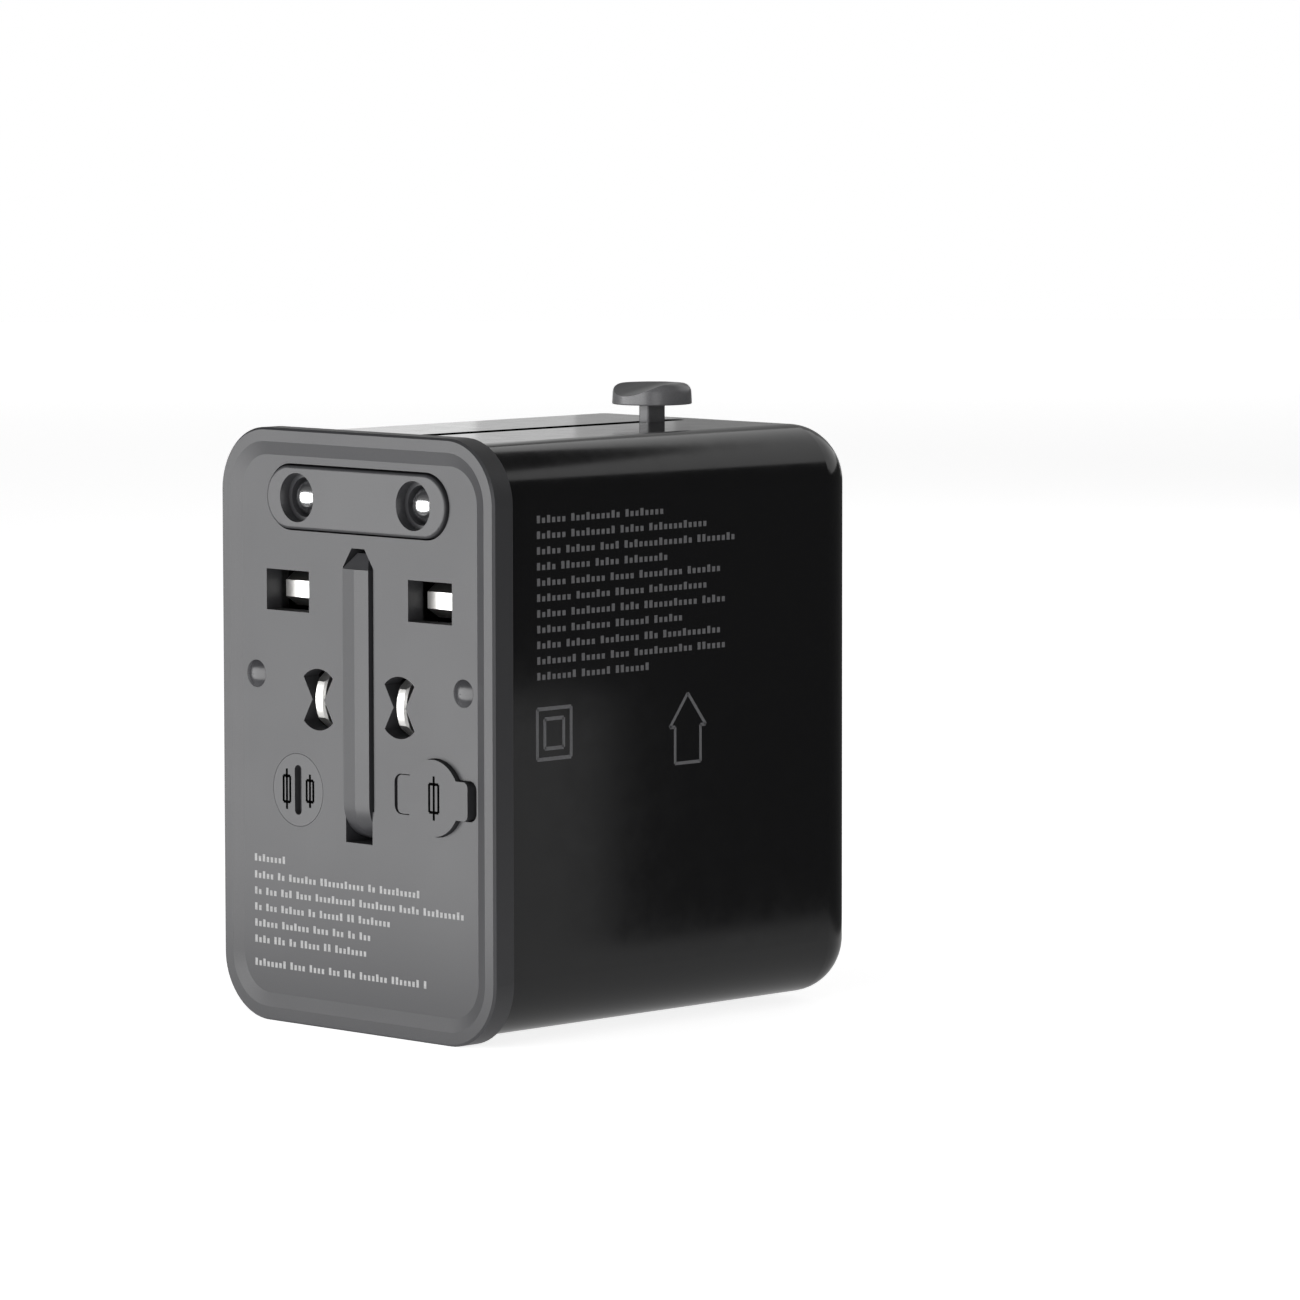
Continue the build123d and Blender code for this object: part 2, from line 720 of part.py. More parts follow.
with BuildPart() as spare_fuse_cap:
    with BuildSketch(at_y(face_y)):
        with Locations((spare_x, spare_z)):
            Circle(spare_cap_r)
    extrude(amount=cap_gap - plate_t)
    with BuildSketch(at_y(face_y)):
        with Locations((spare_x, spare_z)):
            SlotOverall(coin_slot_len, coin_slot_w, rotation=90)
    extrude(amount=-coin_slot_depth, mode=Mode.SUBTRACT)
save(spare_fuse_cap.part, "spare_fuse_cap")

# ================================================================ European plug
with BuildPart() as eu_sleeve:
    with BuildSketch(at_y(sleeve_y)):
        with Locations((0, eu_z)):
            SlotOverall(eu_sleeve_w, eu_sleeve_h)
    extrude(amount=-eu_sleeve_len)
    fillet(eu_sleeve.faces().sort_by(Axis.Y)[0].edges(), sleeve_edge_r)
    with BuildSketch(at_y(sleeve_end_y - eu_flange_t)):
        with Locations((0, eu_z)):
            SlotOverall(eu_sleeve_w + 2 * eu_flange_over, eu_sleeve_h + 2 * eu_flange_over)
    extrude(amount=-eu_flange_t)
    with BuildSketch(at_y(sleeve_y)):
        with Locations((-eu_spacing / 2, eu_z), (eu_spacing / 2, eu_z)):
            Circle(eu_pin_d / 2 + eu_bore_gap)
    extrude(amount=-eu_sleeve_len, mode=Mode.SUBTRACT)
    with BuildSketch(at_y(sleeve_y)):
        with Locations((-eu_spacing / 2, eu_z), (eu_spacing / 2, eu_z)):
            Circle(eu_mouth_d / 2)
    extrude(amount=-eu_mouth_depth, mode=Mode.SUBTRACT)
save(eu_sleeve.part, "eu_sleeve")

with BuildPart() as eu_pins:
    for x in (-eu_spacing / 2, eu_spacing / 2):
        with BuildSketch(Plane.XY.offset(eu_z)):
            with BuildLine():
                Polyline(
                    (x + eu_pin_d / 2, eu_tip_y + eu_pin_d / 2),
                    (x + eu_pin_d / 2, eu_tip_y + eu_bare),
                    (x + eu_core_d / 2, eu_tip_y + eu_bare),
                    (x + eu_core_d / 2, eu_carriage_y + eu_embed),
                    (x, eu_carriage_y + eu_embed),
                    (x, eu_tip_y),
                )
                ThreePointArc(
                    (x, eu_tip_y),
                    (x + eu_pin_d / 2 * sin(radians(45)), eu_tip_y + eu_pin_d / 2 * (1 - cos(radians(45)))),
                    (x + eu_pin_d / 2, eu_tip_y + eu_pin_d / 2),
                )
            make_face()
        revolve(axis=Axis((x, 0, eu_z), (0, 1, 0)))
save(eu_pins.part, "eu_pins")

with BuildPart() as eu_pin_sheaths:
    with BuildSketch(at_y(eu_tip_y + eu_bare)):
        with Locations((-eu_spacing / 2, eu_z), (eu_spacing / 2, eu_z)):
            Circle(eu_pin_d / 2)
            Circle(eu_core_d / 2 + press_gap, mode=Mode.SUBTRACT)
    extrude(amount=eu_tip_y + eu_bare - eu_carriage_y)
save(eu_pin_sheaths.part, "eu_pin_sheaths")

with BuildPart() as eu_carriage:
    with BuildSketch(at_y(eu_carriage_y)):
        with Locations((0, eu_z)):
            Rectangle(eu_carriage_w, eu_carriage_h)
    extrude(amount=-eu_carriage_d)
    with BuildSketch(at_y(eu_carriage_y)):
        with Locations((-eu_spacing / 2, eu_z), (eu_spacing / 2, eu_z)):
            Circle(eu_core_d / 2 + press_gap)
    extrude(amount=-eu_embed, mode=Mode.SUBTRACT)
    # pocket for the knob's flange, and a bore for its spring below
    with BuildSketch(Plane.XY.offset(shell_h - knob_flange_depth - knob_press - slide_gap)):
        with Locations((0, eu_knob_y)):
            Rectangle(flange_across + 2 * slide_gap, flange_along + 2 * slide_gap)
    extrude(amount=shell_wall + knob_press, mode=Mode.SUBTRACT)
    with BuildSketch(Plane.XY.offset(shell_h - knob_flange_depth - spring_len)):
        with Locations((0, eu_knob_y)):
            Circle(spring_bore_r)
    extrude(amount=spring_len, mode=Mode.SUBTRACT)
save(eu_carriage.part, "eu_carriage")

# ================================================================ UK plug
with BuildPart() as uk_pins:
    for x in (-uk_spacing / 2, uk_spacing / 2):
        with BuildSketch(at_y(uk_tip_y)):
            with Locations((x, uk_z)):
                Rectangle(uk_pin_w - 2 * uk_tip_side, uk_tip_h)
        with BuildSketch(at_y(uk_tip_y + uk_tip_len)):
            with Locations((x, uk_z)):
                Rectangle(uk_pin_w, uk_pin_h)
        loft()
    with BuildSketch(at_y(uk_tip_y + uk_tip_len)):
        with Locations((-uk_spacing / 2, uk_z), (uk_spacing / 2, uk_z)):
            Rectangle(uk_pin_w, uk_pin_h)
    extrude(amount=uk_tip_len - uk_bare)
    with BuildSketch(at_y(uk_tip_y + uk_bare)):
        with Locations((-uk_spacing / 2, uk_z), (uk_spacing / 2, uk_z)):
            Rectangle(uk_pin_w - 2 * uk_sheath_t, uk_pin_h - 2 * uk_sheath_t)
    extrude(amount=uk_tip_y + uk_bare - carriage_front_y - uk_embed)
save(uk_pins.part, "uk_pins")

with BuildPart() as uk_pin_sheaths:
    with BuildSketch(at_y(uk_tip_y + uk_bare)):
        with Locations((-uk_spacing / 2, uk_z), (uk_spacing / 2, uk_z)):
            Rectangle(uk_pin_w, uk_pin_h)
            Rectangle(
                uk_pin_w - 2 * uk_sheath_t + 2 * press_gap,
                uk_pin_h - 2 * uk_sheath_t + 2 * press_gap,
                mode=Mode.SUBTRACT,
            )
    extrude(amount=uk_tip_y + uk_bare - carriage_front_y)
save(uk_pin_sheaths.part, "uk_pin_sheaths")


def side_plane(z):
    """A plane on the shell's left side that faces outwards, with its Y axis along +Y."""
    return Plane(origin=(-shell_w / 2, side_knob_y, z), x_dir=(0, 0, 1), z_dir=(-1, 0, 0))


with BuildPart() as uk_carriage:
    with BuildSketch(at_y(carriage_front_y)):
        with Locations((0, uk_z)):
            Rectangle(uk_carriage_w, uk_carriage_h)
        with Locations((-arm_end_x / 2, uk_z)):
            Rectangle(arm_end_x, uk_arm_h)
    extrude(amount=-carriage_d)
    with BuildSketch(at_y(carriage_front_y)):
        with Locations((-uk_spacing / 2, uk_z), (uk_spacing / 2, uk_z)):
            Rectangle(
                uk_pin_w - 2 * uk_sheath_t + 2 * press_gap, uk_pin_h - 2 * uk_sheath_t + 2 * press_gap
            )
    extrude(amount=-uk_embed, mode=Mode.SUBTRACT)
    with BuildSketch(side_plane(uk_z).offset(-knob_flange_depth)):
        Circle(spring_bore_r)
    extrude(amount=-spring_len - side_spring_room, mode=Mode.SUBTRACT)
    # notch for an earth pin pushed into the socket side
    with BuildSketch(at_y(earth_way_y)):
        with Locations((0, uk_z)):
            Rectangle(earth_w + 2 * earth_way_gap, 2 * uk_carriage_h)
    extrude(amount=-carriage_d, mode=Mode.SUBTRACT)
save(uk_carriage.part, "uk_carriage")

# ================================================================ American and Australian plug
with BuildPart() as us_carriage:
    with BuildSketch(at_y(carriage_front_y)):
        with Locations((0, us_z)):
            Rectangle(us_carriage_w, us_carriage_h)
        with Locations((-arm_end_x / 2, us_knob_z)):
            Rectangle(arm_end_x, us_arm_h)
    extrude(amount=-carriage_d)
    with BuildSketch(at_y(carriage_front_y)):
        with Locations((-us_spacing / 2, us_z), (us_spacing / 2, us_z)):
            Circle(journal_d / 2 + running_gap)
    extrude(amount=-journal_len - running_gap, mode=Mode.SUBTRACT)
    with BuildSketch(side_plane(us_knob_z).offset(-knob_flange_depth)):
        Circle(spring_bore_r)
    extrude(amount=-spring_len - side_spring_room, mode=Mode.SUBTRACT)
save(us_carriage.part, "us_carriage")

boss_y = carriage_front_y - boss_t - running_gap
for side, x in (("left", -us_spacing / 2), ("right", us_spacing / 2)):
    with BuildPart() as blade:
        with BuildSketch(Plane.YZ.offset(x)):
            with BuildLine():
                ThreePointArc(
                    (blade_tip_y + blade_bow, us_z - blade_flat / 2),
                    (blade_tip_y, us_z),
                    (blade_tip_y + blade_bow, us_z + blade_flat / 2),
                )
                Polyline(
                    (blade_tip_y + blade_bow, us_z + blade_flat / 2),
                    (blade_tip_y + blade_bow + blade_slope, us_z + blade_h / 2),
                    (boss_y + boss_t - boss_floor, us_z + blade_h / 2),
                    (boss_y + boss_t - boss_floor, us_z - blade_h / 2),
                    (blade_tip_y + blade_bow + blade_slope, us_z - blade_h / 2),
                    (blade_tip_y + blade_bow, us_z - blade_flat / 2),
                )
            make_face()
        extrude(amount=blade_t / 2, both=True)
        tip = blade.faces().sort_by(Axis.Y)[0]
        chamfer(tip.edges().filter_by(GeomType.CIRCLE), blade_side)
    save(blade.part, f"{side}_blade")

    with BuildPart() as blade_holder:
        with BuildSketch(at_y(boss_y)):
            with Locations((x, us_z)):
                Circle(boss_d / 2)
        extrude(amount=-boss_t)
        with BuildSketch(at_y(boss_y + boss_t)):
            with Locations((x, us_z)):
                Circle(journal_d / 2)
        extrude(amount=-journal_len)
        with BuildSketch(at_y(boss_y)):
            with Locations((x, us_z)):
                Rectangle(blade_t + 2 * press_gap, blade_h + 2 * press_gap)
        extrude(amount=boss_floor - boss_t, mode=Mode.SUBTRACT)
    save(blade_holder.part, f"{side}_blade_holder")

# ================================================================ knobs and their springs
knob_places = {
    "eu": Plane(origin=(0, eu_knob_y, shell_h), x_dir=(1, 0, 0), z_dir=(0, 0, 1)),
    "uk": side_plane(uk_z),
    "us": side_plane(us_knob_z),
}
for system, place in knob_places.items():
    with BuildPart() as knob:
        # round cap with a sloping thumb scoop
        with BuildSketch(place.offset(knob_lift)):
            Circle(knob_d / 2)
        extrude(amount=knob_crest, taper=knob_draft)
        rims = knob.edges().filter_by(GeomType.CIRCLE).sort_by(Axis(place.origin, place.z_dir))
        fillet(rims[-1], knob_edge_r)
        fillet(rims[0], knob_foot_r)
        scoop_dir = place.y_dir.rotate(Axis((0, 0, 0), place.x_dir), scoop_tilt)
        low_end = place.from_local_coords((0, -knob_d / 2, knob_lift + knob_rim))
        scoop = Plane(origin=low_end, x_dir=place.x_dir, z_dir=-scoop_dir)
        with BuildSketch(scoop.offset(knob_d / 2)):
            with Locations((0, scoop_r)):
                Circle(scoop_r)
        extrude(amount=-2 * knob_d, mode=Mode.SUBTRACT)
        # stem through the slot, and the flange behind the wall
        with BuildSketch(place.offset(-knob_flange_depth)):
            RectangleRounded(stem_across, stem_along, stem_edge_r)
        extrude(amount=knob_flange_depth + knob_lift + knob_rim / 2)
        with BuildSketch(place.offset(-knob_flange_depth)):
            Rectangle(flange_across, flange_along)
        extrude(amount=flange_t)
    save(knob.part, f"{system}_knob")
    spring_seat = place.offset(-knob_flange_depth - spring_len + press_gap)
    spring = coil(spring_seat, spring_r, spring_wire_r, spring_len - 2 * press_gap, spring_turns)
    save(spring, f"{system}_knob_spring")

# ================================================================ chassis
with BuildPart() as chassis:
    # upright plate behind the carriages and a deck under the European plug
    with BuildSketch(at_y(chassis_y)):
        with Locations((0, (chassis_low_z + deck_z + deck_t) / 2)):
            Rectangle(spigot_w, deck_z + deck_t - chassis_low_z)
        with Locations((-screw_x, screw_z), (screw_x, screw_z)):
            Circle(post_r + fit_gap, mode=Mode.SUBTRACT)
        with Locations((0, earth_way_z)):
            Rectangle(earth_w + 2 * earth_way_gap, earth_deep + 2 * earth_way_gap, mode=Mode.SUBTRACT)
    extrude(amount=-chassis_t)
    with BuildSketch(at_y(deck_front_y)):
        with Locations((0, deck_z + deck_t / 2)):
            Rectangle(spigot_w, deck_t)
    extrude(amount=deck_front_y - chassis_y)
save(chassis.part, "chassis")

# ================================================================ socket
with BuildPart() as socket_frame:
    with BuildSketch(at_y(frame_y)):
        with Locations((0, socket_z)):
            Rectangle(frame_w, frame_h)
    extrude(amount=frame_y - frame_end_y)
    with BuildSketch(at_y(frame_y + frame_front_t)):
        with Locations((-contact_x, socket_z), (contact_x, socket_z)):
            Rectangle(pocket_w, pocket_h)
    extrude(amount=frame_y + frame_front_t - frame_end_y, mode=Mode.SUBTRACT)
save(socket_frame.part, "socket_frame")

leaf_y = frame_y + frame_front_t + press_gap
for name, x in (("line", -contact_x), ("neutral", contact_x)):
    with BuildPart() as contact:
        # a strip bent into a U that grips a pin from above and below
        with BuildSketch(Plane.YZ.offset(x - contact_w / 2)):
            with BuildLine():
                Polyline(
                    (leaf_y + leaf_len, socket_z + leaf_gap / 2),
                    (leaf_y + leaf_t, socket_z + leaf_gap / 2),
                    (leaf_y + leaf_t, socket_z - leaf_gap / 2),
                    (leaf_y + leaf_len, socket_z - leaf_gap / 2),
                    (leaf_y + leaf_len, socket_z - leaf_gap / 2 - leaf_t),
                    (leaf_y, socket_z - leaf_gap / 2 - leaf_t),
                    (leaf_y, socket_z + leaf_gap / 2 + leaf_t),
                    (leaf_y + leaf_len, socket_z + leaf_gap / 2 + leaf_t),
                    close=True,
                )
            make_face()
        extrude(amount=contact_w)
    save(contact.part, f"{name}_contact")

# ================================================================ power board
with BuildPart() as power_board:
    with BuildSketch(at_y(board_y + press_gap)):
        with Locations((0, power_z)):
            Rectangle(power_w, power_h)
        with Locations((0, earth_way_z)):
            Rectangle(earth_w + 2 * earth_way_gap, earth_deep + 2 * earth_way_gap, mode=Mode.SUBTRACT)
    extrude(amount=-board_t)
save(power_board.part, "power_board")

power_face_y = board_y + board_t + 2 * press_gap
with BuildPart() as transformer:
    # winding block between the two halves of a ferrite core
    with BuildSketch(at_y(power_face_y)):
        with Locations((transformer_x, power_z)):
            Rectangle(transformer_w, transformer_h)
    extrude(amount=-transformer_d)
    with BuildSketch(at_y(power_face_y + core_inset)):
        with Locations((transformer_x, power_z)):
            Rectangle(transformer_w * 0.6, transformer_h + 2 * core_over)
    extrude(amount=2 * core_inset - transformer_d)
save(transformer.part, "transformer")

with BuildPart() as capacitor:
    with BuildSketch(at_y(power_face_y)):
        with Locations((capacitor_x, power_z)):
            Circle(capacitor_d / 2)
    extrude(amount=-capacitor_len)
    fillet(capacitor.faces().sort_by(Axis.Y)[-1].edges(), capacitor_edge_r)
save(capacitor.part, "capacitor")

# ================================================================ USB board
with BuildPart() as usb_board:
    with BuildSketch(at_y(usb_board_y)):
        with Locations((0, usb_board_z + usb_board_h / 2)):
            Rectangle(usb_board_w, usb_board_h)
    extrude(amount=-board_t)
save(usb_board.part, "usb_board")

with BuildPart() as usb_a_ports:
    with BuildSketch(Plane.XY.offset(port_z)):
        with Locations((-port_x, usb_a_y), (port_x, usb_a_y)):
            Rectangle(usb_a_w, usb_a_t)
            Rectangle(usb_a_w - 2 * port_wall, usb_a_t - 2 * port_wall, mode=Mode.SUBTRACT)
    extrude(amount=usb_a_len)
save(usb_a_ports.part, "usb_a_ports")

with BuildPart() as usb_a_tongues:
    with BuildSketch(Plane.XY.offset(port_z + tongue_inset)):
        with Locations((-port_x, usb_a_y + usb_a_tongue_t / 2), (port_x, usb_a_y + usb_a_tongue_t / 2)):
            Rectangle(usb_a_tongue_w, usb_a_tongue_t)
    extrude(amount=usb_a_len - tongue_inset)
    with BuildSketch(Plane.XY.offset(port_z + usb_a_len)):
        with Locations((-port_x, usb_a_y), (port_x, usb_a_y)):
            Rectangle(usb_a_w - 2 * port_wall - press_gap, usb_a_t - 2 * port_wall - press_gap)
    extrude(amount=-tongue_base_t)
save(usb_a_tongues.part, "usb_a_tongues")

with BuildPart() as usb_c_ports:
    with BuildSketch(Plane.XY.offset(port_z)):
        with Locations((-port_x, usb_c_y), (port_x, usb_c_y)):
            SlotOverall(usb_c_w, usb_c_t)
            SlotOverall(usb_c_w - 2 * port_wall, usb_c_t - 2 * port_wall, mode=Mode.SUBTRACT)
    extrude(amount=usb_c_len)
save(usb_c_ports.part, "usb_c_ports")

with BuildPart() as usb_c_tongues:
    with BuildSketch(Plane.XY.offset(port_z + tongue_inset)):
        with Locations((-port_x, usb_c_y), (port_x, usb_c_y)):
            Rectangle(usb_c_tongue_w, usb_c_tongue_t)
    extrude(amount=usb_c_len - tongue_inset)
    with BuildSketch(Plane.XY.offset(port_z + usb_c_len)):
        with Locations((-port_x, usb_c_y), (port_x, usb_c_y)):
            SlotOverall(usb_c_w - 2 * port_wall - press_gap, usb_c_t - 2 * port_wall - press_gap)
    extrude(amount=-tongue_base_t)
save(usb_c_tongues.part, "usb_c_tongues")
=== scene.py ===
import math

import bmesh
import bpy
from mathutils import Matrix, Vector


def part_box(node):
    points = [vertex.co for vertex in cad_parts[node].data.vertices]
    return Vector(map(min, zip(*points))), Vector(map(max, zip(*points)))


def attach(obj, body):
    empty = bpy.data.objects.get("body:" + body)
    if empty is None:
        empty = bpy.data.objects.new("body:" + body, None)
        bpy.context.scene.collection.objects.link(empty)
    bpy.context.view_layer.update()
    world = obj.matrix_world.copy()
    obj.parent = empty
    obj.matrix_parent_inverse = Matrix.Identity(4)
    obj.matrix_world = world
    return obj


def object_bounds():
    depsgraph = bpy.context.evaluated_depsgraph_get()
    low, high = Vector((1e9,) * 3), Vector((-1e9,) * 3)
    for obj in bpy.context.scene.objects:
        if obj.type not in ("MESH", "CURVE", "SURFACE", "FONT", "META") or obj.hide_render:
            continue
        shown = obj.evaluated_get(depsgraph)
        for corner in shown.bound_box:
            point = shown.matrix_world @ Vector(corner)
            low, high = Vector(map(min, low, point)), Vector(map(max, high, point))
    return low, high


bl_info = {
    "name": "Travel Adapter",
    "version": (1, 0, 0),
    "blender": (4, 5, 0),
    "location": "View3D > Sidebar > Adapter",
    "description": "Finishes, printing and studio for a universal travel adapter",
    "category": "Object",
}

MM = 0.001
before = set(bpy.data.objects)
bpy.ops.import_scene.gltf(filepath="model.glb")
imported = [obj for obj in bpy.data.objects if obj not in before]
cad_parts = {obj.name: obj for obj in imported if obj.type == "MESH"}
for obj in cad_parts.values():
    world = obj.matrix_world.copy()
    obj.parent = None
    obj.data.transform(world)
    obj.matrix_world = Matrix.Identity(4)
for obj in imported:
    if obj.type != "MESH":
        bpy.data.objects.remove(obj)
cad_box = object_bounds()


# ------------------------------------------------------------------ helpers
def linear(code):
    """Turn an sRGB hex colour into linear RGBA."""
    channels = [int(code[i:i + 2], 16) / 255 for i in (1, 3, 5)]
    curve = [c / 12.92 if c <= 0.04045 else ((c + 0.055) / 1.055) ** 2.4 for c in channels]
    return (*curve, 1.0)


def add_node(tree, kind, settings=None, links=None):
    """Add one node, set its properties and inputs, and link other sockets into it."""
    node = tree.nodes.new(kind)
    for name, value in (settings or {}).items():
        if name in node.inputs:
            node.inputs[name].default_value = value
        else:
            setattr(node, name, value)
    for name, socket in (links or {}).items():
        tree.links.new(socket, node.inputs[name])
    return node


def new_material(name):
    """A cleared node material and its tree."""
    material = bpy.data.materials.new(name)
    material.use_nodes = True
    tree = material.node_tree
    tree.nodes.clear()
    return material, tree


def surface(tree, settings, links=None):
    """Close a tree with a Principled shader and an output."""
    shader = add_node(tree, "ShaderNodeBsdfPrincipled", settings, links)
    add_node(tree, "ShaderNodeOutputMaterial", {}, {"Surface": shader.outputs["BSDF"]})
    return shader


def ramp(tree, factor, stops):
    """A colour ramp over a factor; stops are (place, linear colour) pairs."""
    node = add_node(tree, "ShaderNodeValToRGB", {}, {"Fac": factor})
    elements = node.color_ramp.elements
    while len(elements) < len(stops):
        elements.new(0.5)
    for element, (place, colour) in zip(elements, stops):
        element.position = place
        element.color = colour
    return node


def finish_piece(mesh, name, body, material):
    """Turn a bmesh into a piece that rides on a body."""
    data = bpy.data.meshes.new(name)
    mesh.to_mesh(data)
    mesh.free()
    piece = bpy.data.objects.new(name, data)
    bpy.context.scene.collection.objects.link(piece)
    data.materials.append(material)
    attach(piece, body)
    return piece


def dress(nodes, material):
    """Give CAD nodes a finish."""
    for name in nodes:
        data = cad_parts[name].data
        data.materials.clear()
        data.materials.append(material)


# ------------------------------------------------------------------ settings
class AdapterFinish(bpy.types.PropertyGroup):
    cover_colour: bpy.props.StringProperty(
        name="Cover", description="Satin moulded cover, hex", default="#2E2E30")
    shell_colour: bpy.props.StringProperty(
        name="Shell", description="Gloss moulded shell, hex", default="#0B0B0C")
    # painted light: the knobs are the same dark plastic as the cover, and this light grey stands in for the
    # light falling on them
    knob_painted_light_colour: bpy.props.StringProperty(
        name="Knob painted light", description="Knobs, caps and carriages, hex", default="#727274")
    face_ink: bpy.props.StringProperty(
        name="Face ink", description="Pad-printed lines on the plug face, hex", default="#8A8A8A")
    side_ink: bpy.props.StringProperty(
        name="Side ink", description="Pad-printed lines on the side, hex", default="#5C5C5E")
    grain: bpy.props.FloatProperty(
        name="Spark grain", description="Width of the moulded grain", default=0.12 * MM,
        subtype="DISTANCE", unit="LENGTH")


class AdapterPrint(bpy.types.PropertyGroup):
    film: bpy.props.FloatProperty(
        name="Ink", description="Thickness of the ink", default=0.02 * MM,
        subtype="DISTANCE", unit="LENGTH")
    letter: bpy.props.FloatProperty(
        name="Letter pitch", description="Width given to one letter of a printed row",
        default=0.639 * MM, subtype="DISTANCE", unit="LENGTH")


class AdapterStage(bpy.types.PropertyGroup):
    azimuth: bpy.props.FloatProperty(
        name="Azimuth", description="Camera azimuth from the plug face", default=math.radians(44.732),
        subtype="ANGLE", unit="ROTATION")
    elevation: bpy.props.FloatProperty(
        name="Elevation", description="Camera elevation", default=math.radians(5.310),
        subtype="ANGLE", unit="ROTATION")
    roll: bpy.props.FloatProperty(
        name="Roll", description="Camera roll", default=math.radians(-0.075),
        subtype="ANGLE", unit="ROTATION")
    distance: bpy.props.FloatProperty(
        name="Distance", description="Camera to its target", default=0.78374,
        subtype="DISTANCE", unit="LENGTH")
    lens: bpy.props.FloatProperty(
        name="Lens", description="Focal length on a 36 mm sensor, in mm", default=198.35)


# ------------------------------------------------------------------ finishes
def satin_abs(name, code, grain, roughness):
    """ABS from a spark-eroded mould: a fine even grain that spreads highlights into a soft sheen."""
    material, tree = new_material(name)
    place = add_node(tree, "ShaderNodeTexCoord").outputs["Object"]
    fine = add_node(
        tree, "ShaderNodeTexNoise", {"Scale": 1 / grain, "Detail": 3.0, "Roughness": 0.6},
        {"Vector": place})
    # handling marks: broad patches where the grain is slightly polished
    patch = add_node(
        tree, "ShaderNodeTexNoise", {"Scale": 1 / (9 * MM), "Detail": 2.0}, {"Vector": place})
    gloss = add_node(
        tree, "ShaderNodeMapRange", {"To Min": roughness - 0.03, "To Max": roughness + 0.03},
        {"Value": patch.outputs["Fac"]})
    base = linear(code)
    tint = ramp(tree, fine.outputs["Fac"], (
        (0.35, [0.9 * c for c in base[:3]] + [1.0]),
        (0.65, [1.1 * c for c in base[:3]] + [1.0])))
    bump = add_node(
        tree, "ShaderNodeBump", {"Strength": 0.35, "Distance": 0.006 * MM}, {"Height": fine.outputs["Fac"]})
    surface(tree, {"IOR": 1.53}, {
        "Base Color": tint.outputs["Color"], "Roughness": gloss.outputs["Result"],
        "Normal": bump.outputs["Normal"]})
    return material


def gloss_abs(name, code):
    """ABS from a polished mould: deep gloss with a faint waviness and a slightly uneven haze."""
    material, tree = new_material(name)
    place = add_node(tree, "ShaderNodeTexCoord").outputs["Object"]
    wave = add_node(
        tree, "ShaderNodeTexNoise", {"Scale": 1 / (14 * MM), "Detail": 1.0}, {"Vector": place})
    haze = add_node(
        tree, "ShaderNodeTexNoise", {"Scale": 1 / (3 * MM), "Detail": 4.0, "Roughness": 0.65},
        {"Vector": place})
    gloss = add_node(
        tree, "ShaderNodeMapRange", {"From Min": 0.35, "From Max": 0.75, "To Min": 0.10, "To Max": 0.15},
        {"Value": haze.outputs["Fac"]})
    bump = add_node(
        tree, "ShaderNodeBump", {"Strength": 0.15, "Distance": 0.02 * MM}, {"Height": wave.outputs["Fac"]})
    surface(tree, {"Base Color": linear(code), "IOR": 1.53}, {
        "Roughness": gloss.outputs["Result"], "Normal": bump.outputs["Normal"]})
    return material


def plated(name, code, roughness):
    """Nickel or chrome plating on brass: mirror bright, with fine drawn lines along the pin."""
    material, tree = new_material(name)
    place = add_node(tree, "ShaderNodeTexCoord").outputs["Object"]
    along = add_node(tree, "ShaderNodeMapping", {"Scale": (1, 0.03, 1)}, {"Vector": place})
    lines = add_node(
        tree, "ShaderNodeTexNoise", {"Scale": 1 / (0.15 * MM), "Detail": 2.0},
        {"Vector": along.outputs["Vector"]})
    gloss = add_node(
        tree, "ShaderNodeMapRange", {"To Min": roughness * 0.88, "To Max": roughness * 1.15},
        {"Value": lines.outputs["Fac"]})
    surface(tree, {"Base Color": linear(code), "Metallic": 1.0}, {"Roughness": gloss.outputs["Result"]})
    return material


def solder_mask(name, code):
    """Circuit board: green lacquer over copper tracks about 0.4 mm apart."""
    material, tree = new_material(name)
    place = add_node(tree, "ShaderNodeTexCoord").outputs["Object"]
    tracks = add_node(
        tree, "ShaderNodeTexBrick", {
            "Scale": 1 / (4 * MM), "Mortar Size": 0.03, "Color1": linear(code), "Color2": linear(code),
            "Mortar": linear("#3E7A4A")}, {"Vector": place})
    surface(tree, {"Roughness": 0.3}, {"Base Color": tracks.outputs["Color"]})
    return material


def plain_grain(name, code, roughness, metallic=0.0, size=0.3 * MM):
    """A cast, turned or fired surface with a slight mottling."""
    material, tree = new_material(name)
    place = add_node(tree, "ShaderNodeTexCoord").outputs["Object"]
    mottle = add_node(tree, "ShaderNodeTexNoise", {"Scale": 1 / size, "Detail": 3.0}, {"Vector": place})
    base = linear(code)
    tint = ramp(tree, mottle.outputs["Fac"], (
        (0.3, [0.88 * c for c in base[:3]] + [1.0]),
        (0.7, list(base))))
    surface(tree, {"Roughness": roughness, "Metallic": metallic}, {"Base Color": tint.outputs["Color"]})
    return material


def pad_ink(name, code, sheen=0.5):
    """Pad-printed ink: a thin matt film with slightly uneven cover."""
    material, tree = new_material(name)
    place = add_node(tree, "ShaderNodeTexCoord").outputs["Object"]
    cover = add_node(
        tree, "ShaderNodeTexNoise", {"Scale": 1 / (0.25 * MM), "Detail": 2.0}, {"Vector": place})
    base = linear(code)
    tint = ramp(tree, cover.outputs["Fac"], (
        (0.3, [0.75 * c for c in base[:3]] + [1.0]),
        (0.6, list(base))))
    surface(tree, {"Roughness": 0.6, "Specular IOR Level": sheen}, {"Base Color": tint.outputs["Color"]})
    return material


